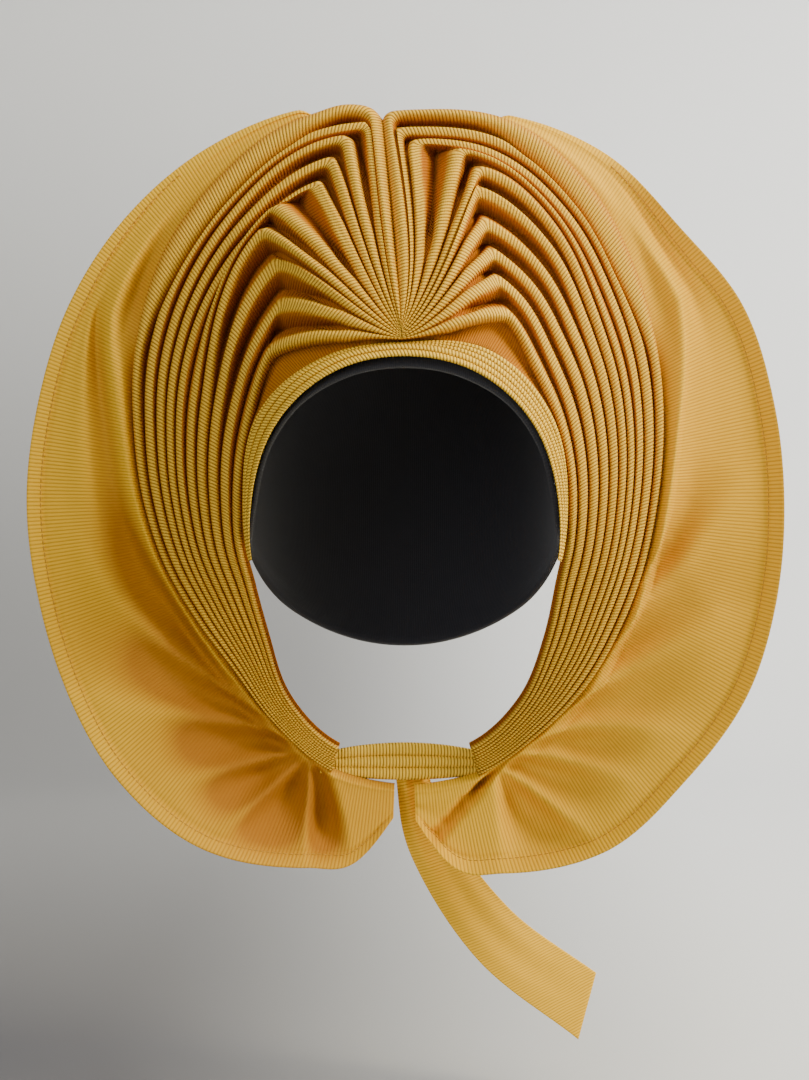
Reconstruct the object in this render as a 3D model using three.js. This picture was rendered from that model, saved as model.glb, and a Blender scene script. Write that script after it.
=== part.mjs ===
// Tied head tie of stiff ribbed cloth: a fan of pleats pinched at the forehead, a flared border
// round it, a folded band round the face, a black lining cap, and a tie at the nape with one tail.
// Millimetres, +Z up. The face opening looks along -Y, and left and right are as seen from there.
// The origin is at the top of the hollow under the lining cap, where the head tie rests.
import {
  BufferGeometry,
  CatmullRomCurve3,
  CubicInterpolant,
  Float32BufferAttribute,
  Group,
  MathUtils,
  Mesh,
  MeshStandardMaterial,
  QuadraticBezierCurve3,
  Vector3,
} from "three";

const { clamp, degToRad, lerp, radToDeg, smoothstep } = MathUtils;

// Thickness of each kind of cloth, and the air kept between neighbouring pieces
const FAN_WALL = 1.0;
const BORDER_WALL = 1.4;
const HEM_WALL = 2.2;
const BAND_WALL = 1.6;
const CAP_WALL = 1.5;
const TIE_WALL = 1.6;
const AIR = 0.3;

// The hollow under the lining cap, a dome a little squarer than an ellipsoid
const DOME_HALF_WIDTH = 73;
const DOME_HALF_LENGTH = 95;
const DOME_HALF_HEIGHT = 100;
const DOME_SQUARENESS = 2.4;

// Middle of the face opening, round which the fan is laid out
const FACE_CENTRE_Z = -95;

// The fan, a row for each direction round the face, in degrees from straight up.
// Distances from the face centre to the inmost pleat, the outmost pleat and the hem, left and
// right, then how far forward (-) or back (+) each of the three lies, then how far outside the
// last pleat the soft crease of the border runs.
const SECTION_COLUMNS = [
  "innerLeft", "innerRight", "outerLeft", "outerRight", "hemLeft", "hemRight",
  "innerY", "outerY", "hemY", "crease",
];
const SECTIONS = [
  { angle: 0, row: [101, 101, 178.5, 175.5, 181, 179, -85, -40, -28, 26] },
  { angle: 15, row: [98.5, 98.5, 179.5, 177, 187.5, 185, -80, -40, -26, 26] },
  { angle: 30, row: [94, 93.5, 167.5, 164, 188, 186.5, -72, -38, -22, 25] },
  { angle: 45, row: [87, 84, 155, 147, 185.5, 182, -64, -35, -17, 23] },
  { angle: 60, row: [80.5, 79.5, 142, 134, 182.5, 182.5, -54, -30, -12, 16] },
  { angle: 75, row: [77.5, 77.5, 129.5, 124, 179.5, 180, -46, -23, -6, 8.5] },
  { angle: 90, row: [77, 77.5, 122, 118.5, 180, 180, -38, -14, 0, 6] },
  { angle: 105, row: [80.3, 80.3, 117.5, 117.5, 182, 184, -24, -4, 7, 5.6] },
  { angle: 120, row: [85, 86, 115, 120, 188, 190, -5, 8, 15, 5.2] },
  { angle: 135, row: [96, 98.5, 117, 126, 196, 193, 14, 21, 25, 5] },
  { angle: 150, row: [115, 116, 127.5, 133, 199, 199, 34, 36, 37, 4.6] },
  { angle: 165, row: [129, 129, 140, 142, 190, 192, 50, 51, 50, 4.4] },
  { angle: 172, row: [131.5, 131.5, 142.5, 143.5, 184, 186, 54, 55, 56, 4.4] },
  { angle: 178, row: [133, 133, 144, 144.5, 160, 161, 57, 58, 59, 4] },
];

// The pleats from the face outward: share of the way from the inmost to the outmost pleat, and
// where each ridge turns sharply down to the forehead. The first row is the valley before the
// first pleat, and the last row the edge of the pleated cloth, down in the valley after the tenth.
const START_SHARE = -0.045;
const EDGE_SHARE = 1.045;
const PLEATS = [
  { name: "start", share: START_SHARE, leftX: -54.5, leftZ: -36.5, rightX: 43, rightZ: -25.5 },
  { name: "first", share: 0, leftX: -60.8, leftZ: -30.3, rightX: 46.6, rightZ: -14.6 },
  { name: "second", share: 0.12, leftX: -55.3, leftZ: -10, rightX: 41.8, rightZ: 1 },
  { name: "third", share: 0.25, leftX: -56.4, leftZ: 9, rightX: 39.3, rightZ: 13.4 },
  { name: "fourth", share: 0.365, leftX: -64.2, leftZ: 23.9, rightX: 35.9, rightZ: 27.2 },
  { name: "fifth", share: 0.475, leftX: -59, leftZ: 36.4, rightX: 32, rightZ: 42.5 },
  { name: "sixth", share: 0.58, leftX: -39.8, leftZ: 46, rightX: 34.4, rightZ: 53.1 },
  { name: "seventh", share: 0.67, leftX: -33.2, leftZ: 57.4, rightX: 25, rightZ: 62.8 },
  { name: "eighth", share: 0.76, leftX: -27.4, leftZ: 68.5, rightX: 4, rightZ: 66 },
  { name: "ninth", share: 0.865, leftX: -15.5, leftZ: 74.5, rightX: -3.5, rightZ: 72 },
  { name: "tenth", share: 1, leftX: -15, leftZ: 82, rightX: -6.5, rightZ: 80 },
  { name: "edge", share: EDGE_SHARE, leftX: -11, leftZ: 85, rightX: -10.3, rightZ: 83 },
];
const VALLEY_PER_SPACING = 1.6;
const DEEPEST_VALLEY = 13;
const START_DIP = 4;
const EDGE_DIP = 7.5;
const CAP_CLEARANCE = 1.2;
const CAP_SIDE_RIM_Z = -120;
const UNDER_BAND = { tuck: 1.2, wall: 1.6, from: 10, to: 24, leave: 92, gone: 108 };
const FAN_SHIFT = FAN_WALL / Math.sin(Math.atan(0.5 / VALLEY_PER_SPACING));
const ARC_STEPS = 22;
const ARM_STEPS = 9;
const GATHER_ANGLE = 165;
const TURN_BLEND = 0.72;

// The pinch at the forehead where every pleat turns back
const PINCH = { x: -1.5, y: -85.5, lowZ: -24.8, topZ: -15.6 };
const ARM_SAG = { across: 0.41, down: 0.7 };

// The flared border outside the last pleat
const BORDER_TOP_ANGLE = 12;
const BORDER_END_ANGLE = 178;
const BORDER_STEPS = 46;
const BORDER_CROWDING = 0.35;
const CREASE_RISE = 1.5;
const CREASE_DIP = 6;
const CREASE_WIDTH = 3.2;
const CREASE_FADE = { from: 42, to: 66 };
const FLARE_SAG = 5;
const HEM_WIDTH = 6;

// Folds that spread through the border from the gather at each side of the nape:
// tilt above (+) or below (-) level, half width, both in degrees, and height forward in millimetres
const GATHERS = {
  left: { x: -45, z: -226 },
  right: { x: 47, z: -228 },
  reach: 95,
};
const GATHER_FOLDS = [
  { side: "left", tilt: 34, width: 8, height: 5 },
  { side: "left", tilt: 24, width: 6, height: -3.5 },
  { side: "left", tilt: 10, width: 6, height: 4 },
  { side: "left", tilt: 0, width: 6, height: -3.5 },
  { side: "left", tilt: -12, width: 6, height: 4 },
  { side: "left", tilt: -22, width: 6, height: -3.5 },
  { side: "left", tilt: -38, width: 9, height: 4.5 },
  { side: "left", tilt: -57, width: 10, height: -4.5 },
  { side: "left", tilt: -90, width: 16, height: 3.5 },
  { side: "right", tilt: 37, width: 8, height: 5 },
  { side: "right", tilt: 26, width: 6, height: -3.5 },
  { side: "right", tilt: 16, width: 6, height: 3 },
  { side: "right", tilt: 7, width: 6, height: -3.5 },
  { side: "right", tilt: -4, width: 6, height: 3 },
  { side: "right", tilt: -15, width: 6, height: -3.5 },
  { side: "right", tilt: -32, width: 9, height: 4.5 },
  { side: "right", tilt: -57, width: 10, height: -4.5 },
  { side: "right", tilt: -90, width: 16, height: 3.5 },
];

// The folded band round the face, a row for each direction: distance of its two edges from the
// face centre, and how far back the outer edge leans from the inner one
const BAND_COLUMNS = ["inner", "outer", "lean"];
const BAND_ROWS = [
  { angle: -112, row: [75, 76.8, 3] },
  { angle: -90, row: [69.2, 73.6, 5] },
  { angle: -60, row: [65.4, 75.4, 8] },
  { angle: -30, row: [62.6, 71, 7] },
  { angle: 0, row: [61, 67.6, 5] },
  { angle: 30, row: [62.6, 74.5, 8] },
  { angle: 60, row: [65.4, 75.4, 8] },
  { angle: 90, row: [69.4, 74.4, 5] },
  { angle: 112, row: [75.4, 77.4, 3] },
];
const BAND_FOLDS = 3;
const BAND_RIDGE = 2.2;
const BAND_SHIFT = 1.7 * BAND_WALL;
const BAND_LIFT = 3.7;
const BAND_STEPS = 40;

// Rim of the lining cap: turn from the front and lift above the middle of the dome, in degrees
const RIM_COLUMNS = ["lift"];
const RIM_ROWS = [
  { angle: -20, row: [33.5] },
  { angle: 0, row: [37] },
  { angle: 20, row: [33.5] },
  { angle: 39, row: [23.5] },
  { angle: 48, row: [14.5] },
  { angle: 55, row: [3] },
  { angle: 64, row: [-7.5] },
  { angle: 80, row: [-12.5] },
  { angle: 100, row: [-18] },
  { angle: 135, row: [-31] },
  { angle: 180, row: [-41] },
  { angle: 225, row: [-31] },
];

// The lining cap is a crown and four side panels, parted by narrow seams
const CROWN_LIFT = 45;
const CROWN_TURNS = 40;
const CROWN_RINGS = 4;
const PANEL_TURNS = 10;
const PANEL_RINGS = 5;
const CAP_SEAM = 0.13;

// The tie across the nape and its loose tail
const NAPE = { halfWidth: 43, middleY: 65, sideY: 56.4, z: -227, height: 19, sideHeight: 10 };
const NAPE_FOLDS = 3;
const NAPE_RIDGE = 2.4;
const NAPE_STEPS = 12;
const TAIL_PATH = [
  { x: 3, y: 70.3, z: -232, width: 16 },
  { x: 14, y: 75, z: -272, width: 24 },
  { x: 48, y: 85, z: -321, width: 32 },
  { x: 96, y: 94, z: -359, width: 36 },
];
const TAIL_STEPS = 14;
const TAIL_COLUMNS = 5;
const TAIL_FOLD = 3;
const TAIL_UPRIGHT = 0.6;

// Smooth lookup of a table whose rows are keyed by an angle
function lookup(rows, columns) {
  const angles = rows.map((entry) => entry.angle);
  const values = rows.flatMap((entry) => entry.row);
  const found = new Float64Array(columns.length);
  const curve = new CubicInterpolant(angles, values, columns.length, found);
  return (angle, column) => curve.evaluate(angle)[columns.indexOf(column)];
}

const sectionValue = lookup(SECTIONS, SECTION_COLUMNS);
const bandValue = lookup(BAND_ROWS, BAND_COLUMNS);
const rimValue = lookup(RIM_ROWS, RIM_COLUMNS);

function section(side, angle) {
  const hand = side < 0 ? "Left" : "Right";
  return {
    inner: sectionValue(angle, `inner${hand}`),
    outer: sectionValue(angle, `outer${hand}`),
    hem: sectionValue(angle, `hem${hand}`),
    innerY: sectionValue(angle, "innerY"),
    outerY: sectionValue(angle, "outerY"),
    hemY: sectionValue(angle, "hemY"),
    crease: sectionValue(angle, "crease"),
  };
}

function roundFace(angle, radius, y) {
  const turn = degToRad(angle);
  return new Vector3(radius * Math.sin(turn), y, FACE_CENTRE_Z + radius * Math.cos(turn));
}

function shifted(row, back) {
  return row.map((point) => point.clone().setY(point.y + back));
}

// Closed wall between a front and a back grid of points, joined round all four edges
function clothSolid(front, back) {
  const steps = front.length;
  const across = front[0].length;
  const last = steps - 1;
  const end = across - 1;
  const faces = [];
  const at = (layer, step, column) => (layer * steps + step) * across + column;
  const quad = (a, b, c, d) => faces.push(a, b, c, a, c, d);
  for (let s = 0; s < last; s += 1) {
    for (let c = 0; c < end; c += 1) {
      quad(at(0, s, c), at(0, s + 1, c), at(0, s + 1, c + 1), at(0, s, c + 1));
      quad(at(1, s, c), at(1, s, c + 1), at(1, s + 1, c + 1), at(1, s + 1, c));
    }
    quad(at(0, s, 0), at(1, s, 0), at(1, s + 1, 0), at(0, s + 1, 0));
    quad(at(0, s, end), at(0, s + 1, end), at(1, s + 1, end), at(1, s, end));
  }
  for (let c = 0; c < end; c += 1) {
    quad(at(0, 0, c), at(0, 0, c + 1), at(1, 0, c + 1), at(1, 0, c));
    quad(at(0, last, c), at(1, last, c), at(1, last, c + 1), at(0, last, c + 1));
  }
  return solidFrom([...front.flat(), ...back.flat()], faces);
}

function solidFrom(points, faces) {
  const geometry = new BufferGeometry();
  const numbers = points.flatMap((point) => point.toArray());
  geometry.setAttribute("position", new Float32BufferAttribute(numbers, 3));
  geometry.setIndex(faces);
  geometry.computeVertexNormals();
  return geometry;
}

// Ridge line of one pleat, from the nape gather round the side, over its turn, to the pinch
function ridgeLine(side, pleat) {
  const turnX = side < 0 ? pleat.leftX : pleat.rightX;
  const turnZ = side < 0 ? pleat.leftZ : pleat.rightZ;
  const turnAngle = side * radToDeg(Math.atan2(turnX, turnZ - FACE_CENTRE_Z));
  const onFan = (angle) => {
    const here = section(side, angle);
    const radius = lerp(here.inner, here.outer, pleat.share);
    return roundFace(side * angle, radius, lerp(here.innerY, here.outerY, pleat.share));
  };
  const fanTurn = onFan(turnAngle);
  const turn = new Vector3(turnX, fanTurn.y, turnZ);
  const offset = turn.clone().sub(fanTurn);
  const share = clamp(pleat.share, -0.08, 1.08);
  const pinchZ = lerp(PINCH.lowZ, PINCH.topZ, share);
  const pinch = new Vector3(PINCH.x + 0.75 * AIR * side, PINCH.y, pinchZ);
  const sag = new Vector3(
    lerp(turn.x, pinch.x, ARM_SAG.across),
    lerp(turn.y, pinch.y, 0.5),
    lerp(turn.z, pinch.z, ARM_SAG.down),
  );
  const arm = new QuadraticBezierCurve3(turn, sag, pinch);
  const line = [];
  for (let step = 0; step <= ARC_STEPS; step += 1) {
    const along = step / ARC_STEPS;
    const point = onFan(lerp(GATHER_ANGLE, turnAngle, along));
    line.push(point.addScaledVector(offset, smoothstep(along, TURN_BLEND, 1)));
  }
  for (let step = 1; step <= ARM_STEPS; step += 1) {
    line.push(arm.getPoint(step / ARM_STEPS));
  }
  return line;
}

function valleyDepth(spacing) {
  return Math.min(DEEPEST_VALLEY, VALLEY_PER_SPACING * spacing);
}

// A point of the cloth sunk into a valley, no deeper than the cap behind it allows
function sunk(point, depth, wall) {
  const deep = point.y + depth;
  const floor = domeFront(point.x, point.z, CAP_WALL + CAP_CLEARANCE) - wall;
  return point.clone().setY(point.z > CAP_SIDE_RIM_Z ? Math.min(deep, floor) : deep);
}

function valleyBetween(ridge, next) {
  const spacing = Math.hypot(next.x - ridge.x, next.z - ridge.z);
  return sunk(ridge.clone().lerp(next, 0.5), valleyDepth(spacing), FAN_SHIFT);
}

// Inner edge of the pleated cloth: it slips under the band wherever the band covers it
function tuckedEdge(firstRidge) {
  return firstRidge.map((point) => {
    const angle = radToDeg(Math.atan2(point.x, point.z - FACE_CENTRE_Z));
    const spread = Math.abs(angle);
    const reach = Math.hypot(point.x, point.z - FACE_CENTRE_Z);
    const open = smoothstep(spread, UNDER_BAND.leave, UNDER_BAND.gone);
    const tuck = lerp(-2 * AIR, UNDER_BAND.tuck, smoothstep(spread, UNDER_BAND.from, UNDER_BAND.to));
    const radius = lerp(bandValue(angle, "outer") - tuck, reach - 3.2, open);
    const under = bandDepth(angle, radius) + BAND_SHIFT + 2 * AIR;
    return roundFace(angle, radius, lerp(under, point.y + START_DIP, open));
  });
}

// Half of the pleated fan, from one gather at the nape up to the pinch at the forehead
function pleatHalf(side) {
  const lines = PLEATS.map((pleat) => ridgeLine(side, pleat));
  const last = lines.length - 1;
  const edge = tuckedEdge(lines[1]);
  const front = lines[0].map((start, step) => {
    const spacing = lines[1][step].distanceTo(lines[2][step]);
    const dip = clamp(spacing / 5, 0.15, 1);
    const row = [edge[step], sunk(start, START_DIP * dip, UNDER_BAND.wall)];
    for (let i = 1; i < last; i += 1) {
      row.push(lines[i][step]);
      if (i < last - 1) {
        row.push(valleyBetween(lines[i][step], lines[i + 1][step]));
      }
    }
    row.push(sunk(lines[last][step], EDGE_DIP * dip, FAN_SHIFT));
    return row;
  });
  if (side > 0) {
    front.reverse();
  }
  const back = front.map((row) => {
    const moved = shifted(row, FAN_SHIFT);
    moved[0].y = row[0].y + UNDER_BAND.wall;
    moved[1].y = row[1].y + UNDER_BAND.wall;
    return moved;
  });
  return clothSolid(front, back);
}

// How far the folds from the nape gather push the border forward at a point
function gatherRelief(side, x, z) {
  const hand = side < 0 ? "left" : "right";
  const outward = side * (x - GATHERS[hand].x);
  const upward = z - GATHERS[hand].z;
  const tilt = radToDeg(Math.atan2(upward, Math.max(outward, -0.4 * Math.abs(upward))));
  const distance = Math.hypot(outward, upward);
  const rise = smoothstep(distance, 15, 55);
  const fade = rise * (1 - smoothstep(distance, 0.6 * GATHERS.reach, 1.6 * GATHERS.reach));
  const folds = GATHER_FOLDS.filter((fold) => fold.side === hand);
  const sum = folds.reduce((total, fold) => {
    const off = (tilt - fold.tilt) / fold.width;
    return total + fold.height * Math.exp(-off * off);
  }, 0);
  return -sum * fade;
}

// One side of the flared border, from the top of the fan round to the middle of the nape
function border(side) {
  const front = [];
  const back = [];
  for (let step = 0; step <= BORDER_STEPS; step += 1) {
    const even = step / BORDER_STEPS;
    const along = even + BORDER_CROWDING * even * (1 - even);
    const angle = lerp(BORDER_TOP_ANGLE, BORDER_END_ANGLE, along);
    const here = section(side, angle);
    const root = lerp(here.inner, here.outer, EDGE_SHARE) + 2.4 * AIR;
    const width = here.hem - root;
    const creased = smoothstep(angle, CREASE_FADE.from, CREASE_FADE.to);
    const dip = lerp(0.25, 1, smoothstep(BORDER_END_ANGLE - angle, 8, 45));
    const ridge = lerp(3, -CREASE_RISE, creased);
    const trough = lerp(2, CREASE_DIP, creased);
    const crease = clamp((here.outer + here.crease - root) / width, 0.04, 0.42);
    const hollow = Math.min(crease + CREASE_WIDTH / width, 0.62);
    const hem = 1 - Math.min(HEM_WIDTH / width, 0.2);
    const columns = [
      { across: 0, relief: EDGE_DIP * dip, wall: 3.2 },
      { across: crease, relief: ridge * dip, wall: lerp(2.4, 3.2, creased) },
      { across: hollow, relief: trough * dip, wall: lerp(1.8, 3, creased) },
      { across: lerp(hollow, hem, 0.36), relief: FLARE_SAG * dip, wall: BORDER_WALL * 1.3 },
      { across: lerp(hollow, hem, 0.7), relief: 0.5 * FLARE_SAG * dip, wall: BORDER_WALL * 1.2 },
      { across: hem, relief: 0, wall: BORDER_WALL * 1.2 },
      { across: 1, relief: 0, wall: HEM_WALL },
    ];
    const row = columns.map((column) => {
      const y = lerp(here.outerY, here.hemY, column.across) + column.relief;
      const point = roundFace(side * angle, root + width * column.across, y);
      point.y += gatherRelief(side, point.x, point.z) * smoothstep(column.across, 0.02, 0.3);
      return point;
    });
    front.push(row);
    back.push(row.map((point, i) => point.clone().setY(point.y + columns[i].wall)));
  }
  if (side < 0) {
    front.reverse();
    back.reverse();
  }
  return clothSolid(front, back);
}

// Front of the dome, let out all round, at a place seen from the front
function domeFront(x, z, letOut) {
  const sideways = Math.abs(x) / (DOME_HALF_WIDTH + letOut);
  const upward = Math.abs(z + DOME_HALF_HEIGHT) / (DOME_HALF_HEIGHT + letOut);
  const rest = 1 - sideways ** DOME_SQUARENESS - upward ** DOME_SQUARENESS;
  return rest > 0 ? -(DOME_HALF_LENGTH + letOut) * rest ** (1 / DOME_SQUARENESS) : Infinity;
}

// How far forward the flat of the band lies at a distance from the face centre
function bandDepth(angle, radius) {
  const inner = bandValue(angle, "inner");
  const edge = roundFace(angle, inner, 0);
  const seat = domeFront(edge.x, edge.z, CAP_WALL) - BAND_SHIFT - BAND_LIFT;
  return seat + (bandValue(angle, "lean") * (radius - inner)) / (bandValue(angle, "outer") - inner);
}

// The band of small folds that frames the face
function foreheadBand() {
  const front = [];
  const first = BAND_ROWS[0].angle;
  const last = BAND_ROWS[BAND_ROWS.length - 1].angle;
  const columns = 2 * BAND_FOLDS;
  for (let step = 0; step <= BAND_STEPS; step += 1) {
    const angle = lerp(first, last, step / BAND_STEPS);
    const inner = bandValue(angle, "inner");
    const outer = bandValue(angle, "outer");
    const row = [];
    for (let c = 0; c <= columns; c += 1) {
      const radius = lerp(inner, outer, c / columns);
      const ridge = c % 2 === 1 ? BAND_RIDGE * clamp((outer - inner) / 8, 0.2, 1) : 0;
      row.push(roundFace(angle, radius, bandDepth(angle, radius) - ridge));
    }
    front.push(row);
  }
  return clothSolid(front, front.map((row) => shifted(row, BAND_SHIFT)));
}

// Point on the dome, let out all round, in a direction given by its turn from the front and lift
function onDome(turn, lift, letOut) {
  const level = Math.cos(degToRad(lift));
  const x = Math.sin(degToRad(turn)) * level;
  const y = -Math.cos(degToRad(turn)) * level;
  const z = Math.sin(degToRad(lift));
  const size =
    (Math.abs(x) / (DOME_HALF_WIDTH + letOut)) ** DOME_SQUARENESS +
    (Math.abs(y) / (DOME_HALF_LENGTH + letOut)) ** DOME_SQUARENESS +
    (Math.abs(z) / (DOME_HALF_HEIGHT + letOut)) ** DOME_SQUARENESS;
  const reach = size ** (-1 / DOME_SQUARENESS);
  return new Vector3(x * reach, y * reach, z * reach - DOME_HALF_HEIGHT);
}

// Side panel of the black lining cap, from the rim up to the crown
function capPanel(fromTurn, toTurn) {
  const skin = (letOut) => {
    const rows = [];
    for (let step = 0; step <= PANEL_TURNS; step += 1) {
      const turn = lerp(fromTurn + CAP_SEAM, toTurn - CAP_SEAM, step / PANEL_TURNS);
      const rim = rimValue(turn > 180 ? 360 - turn : Math.abs(turn), "lift");
      const row = [];
      for (let ring = 0; ring <= PANEL_RINGS; ring += 1) {
        row.push(onDome(turn, lerp(rim, CROWN_LIFT - CAP_SEAM, ring / PANEL_RINGS), letOut));
      }
      rows.push(row);
    }
    return rows;
  };
  return clothSolid(skin(CAP_WALL), skin(0));
}

// Crown of the black lining cap: an outer and an inner dome joined round the edge
function capCrown() {
  const points = [];
  const faces = [];
  const layer = CROWN_TURNS * CROWN_RINGS + 1;
  const at = (ring, turn) => ring * CROWN_TURNS + (turn % CROWN_TURNS);
  for (const letOut of [CAP_WALL, 0]) {
    for (let ring = 0; ring < CROWN_RINGS; ring += 1) {
      const lift = lerp(CROWN_LIFT + CAP_SEAM, 90, ring / CROWN_RINGS);
      for (let step = 0; step < CROWN_TURNS; step += 1) {
        points.push(onDome((360 * step) / CROWN_TURNS, lift, letOut));
      }
    }
    points.push(onDome(0, 90, letOut));
  }
  for (let t = 0; t < CROWN_TURNS; t += 1) {
    for (let ring = 0; ring < CROWN_RINGS - 1; ring += 1) {
      const [a, b] = [at(ring, t), at(ring, t + 1)];
      const [c, d] = [at(ring + 1, t + 1), at(ring + 1, t)];
      faces.push(a, b, c, a, c, d);
      faces.push(a + layer, c + layer, b + layer, a + layer, d + layer, c + layer);
    }
    const top = at(CROWN_RINGS - 1, t);
    const next = at(CROWN_RINGS - 1, t + 1);
    faces.push(top, next, layer - 1);
    faces.push(next + layer, top + layer, 2 * layer - 1);
    const [a, b] = [at(0, t), at(0, t + 1)];
    faces.push(a, a + layer, b + layer, a, b + layer, b);
  }
  return solidFrom(points, faces);
}

// The folded tie that joins the two gathers behind the neck
function napeTie() {
  const front = [];
  const columns = 2 * NAPE_FOLDS;
  for (let step = 0; step <= NAPE_STEPS; step += 1) {
    const along = (2 * step) / NAPE_STEPS - 1;
    const waist = 1 - along * along;
    const height = lerp(NAPE.sideHeight, NAPE.height, waist);
    const y = lerp(NAPE.sideY, NAPE.middleY, waist);
    const row = [];
    for (let c = 0; c <= columns; c += 1) {
      const ridge = c % 2 === 1 ? NAPE_RIDGE * lerp(0.4, 1, waist) : 0;
      const z = NAPE.z + height * (c / columns - 0.5);
      row.push(new Vector3(NAPE.halfWidth * along, y - ridge, z));
    }
    front.push(row);
  }
  return clothSolid(front, front.map((row) => shifted(row, 1.4 * TIE_WALL)));
}

// The loose tail that hangs behind the border and swings out to the right
function tieTail() {
  const path = new CatmullRomCurve3(TAIL_PATH.map((stop) => new Vector3(stop.x, stop.y, stop.z)));
  const upright = new Vector3(0, 0, 1);
  const front = [];
  for (let step = 0; step <= TAIL_STEPS; step += 1) {
    const along = step / TAIL_STEPS;
    const middle = path.getPoint(along);
    const heading = path.getTangent(along);
    const crosswise = new Vector3(-heading.z, 0, heading.x);
    crosswise.lerp(upright, TAIL_UPRIGHT * along).normalize();
    const stop = along * (TAIL_PATH.length - 1);
    const here = Math.min(Math.floor(stop), TAIL_PATH.length - 2);
    const width = lerp(TAIL_PATH[here].width, TAIL_PATH[here + 1].width, stop - here);
    const row = [];
    for (let c = 0; c < TAIL_COLUMNS; c += 1) {
      const across = c / (TAIL_COLUMNS - 1) - 0.5;
      const fold = TAIL_FOLD * (c % 2) * (1 - along);
      row.push(middle.clone().addScaledVector(crosswise, width * across).setY(middle.y - fold));
    }
    front.push(row);
  }
  return clothSolid(front, front.map((row) => shifted(row, TIE_WALL)));
}

const golden = new MeshStandardMaterial({ color: 0xc99a3f, roughness: 0.72, metalness: 0 });
golden.name = "golden_ribbed_cloth";
const black = new MeshStandardMaterial({ color: 0x15151a, roughness: 0.85, metalness: 0 });
black.name = "black_lining";

const headTie = new Group();
headTie.name = "head_tie";

function place(name, geometry, material) {
  const mesh = new Mesh(geometry, material);
  mesh.name = name;
  headTie.add(mesh);
}

place("lining_cap_crown", capCrown(), black);
place("lining_cap_front", capPanel(-45, 45), black);
place("lining_cap_right", capPanel(45, 135), black);
place("lining_cap_back", capPanel(135, 225), black);
place("lining_cap_left", capPanel(225, 315), black);
place("forehead_band", foreheadBand(), golden);
place("pleats_left", pleatHalf(-1), golden);
place("pleats_right", pleatHalf(1), golden);
place("border_left", border(-1), golden);
place("border_right", border(1), golden);
place("nape_tie", napeTie(), golden);
place("tie_tail", tieTail(), golden);

export default headTie;
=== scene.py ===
"""Tied head tie of golden ribbed cloth: a pleated fan pinched above the opening, a flared border with a
stitched hem, a folded band round the opening, a black lining cap, and a tie at the back with one tail.
Sizes are in millimetres, with left and right as seen from the front, where the opening looks along -Y."""
import math

import bpy
import numpy as np
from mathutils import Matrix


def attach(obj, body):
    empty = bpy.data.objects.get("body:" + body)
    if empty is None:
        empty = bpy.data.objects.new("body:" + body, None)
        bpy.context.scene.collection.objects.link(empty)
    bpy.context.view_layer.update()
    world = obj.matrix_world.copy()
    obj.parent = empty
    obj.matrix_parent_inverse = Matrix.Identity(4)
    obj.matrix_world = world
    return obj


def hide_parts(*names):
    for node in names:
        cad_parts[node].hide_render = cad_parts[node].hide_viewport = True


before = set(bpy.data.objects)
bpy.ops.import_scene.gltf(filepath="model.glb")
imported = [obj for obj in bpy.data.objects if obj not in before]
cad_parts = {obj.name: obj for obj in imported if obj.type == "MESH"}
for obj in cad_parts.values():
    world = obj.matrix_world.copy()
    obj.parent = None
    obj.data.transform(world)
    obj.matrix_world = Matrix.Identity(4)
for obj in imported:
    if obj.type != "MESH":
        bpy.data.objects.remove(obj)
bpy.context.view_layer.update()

MM = 0.001

# Cloth
RIB_PITCH = 1.65
YARN_PITCH = 0.5
FAN_WALL = 2.4
CAP_WALL = 1.5
TUCKED_WALL = 1.6
TIE_WALL = 1.6
AIR = 0.3

# The hollow under the lining cap, a dome a little squarer than an ellipsoid
DOME = np.array([73.0, 95.0, 100.0])
DOME_SQUARENESS = 2.4
CAP_CLEARANCE = 1.2
OPENING_Z = -95.0
RIM_Z = -120.0

# The fan by direction round the opening, in degrees from straight up: inner, outer and hem distances
# left and right, how far forward or back each lies, and where the soft crease of the border runs
SECTIONS = [
    # angle, inner left, inner right, outer left, outer right, hem left, hem right, inner y, outer y, hem y, crease
    (0, 101, 101, 178.5, 175.5, 181, 179, -85, -40, -28, 26),
    (15, 98.5, 98.5, 179.5, 177, 187.5, 185, -80, -40, -26, 26),
    (30, 94, 93.5, 167.5, 164, 188, 186.5, -72, -38, -22, 25),
    (45, 87, 84, 155, 147, 185.5, 180.2, -64, -35, -17, 23),
    (60, 80.5, 79.5, 142, 134, 182.5, 182.5, -54, -30, -12, 16),
    (75, 77.5, 77.5, 129.5, 124, 179.5, 180, -46, -23, -6, 8.5),
    (90, 77, 77.5, 122, 118.5, 180, 180, -38, -14, 0, 6),
    (105, 80.3, 80.3, 117.5, 117.5, 182, 184, -24, -4, 7, 5.6),
    (120, 85, 86, 115, 120, 188, 190, -5, 8, 15, 5.2),
    (135, 96, 98.5, 117, 126, 196, 193, 14, 21, 25, 5),
    (150, 115, 116, 127.5, 133, 199, 199, 34, 36, 37, 4.6),
    (165, 129, 129, 140, 142, 190, 192, 50, 51, 50, 4.4),
    (172, 131.5, 131.5, 142.5, 143.5, 184, 186, 54, 55, 56, 4.4),
    (178, 133, 133, 144, 144.5, 160, 161, 57, 58, 59, 4),
]

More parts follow.
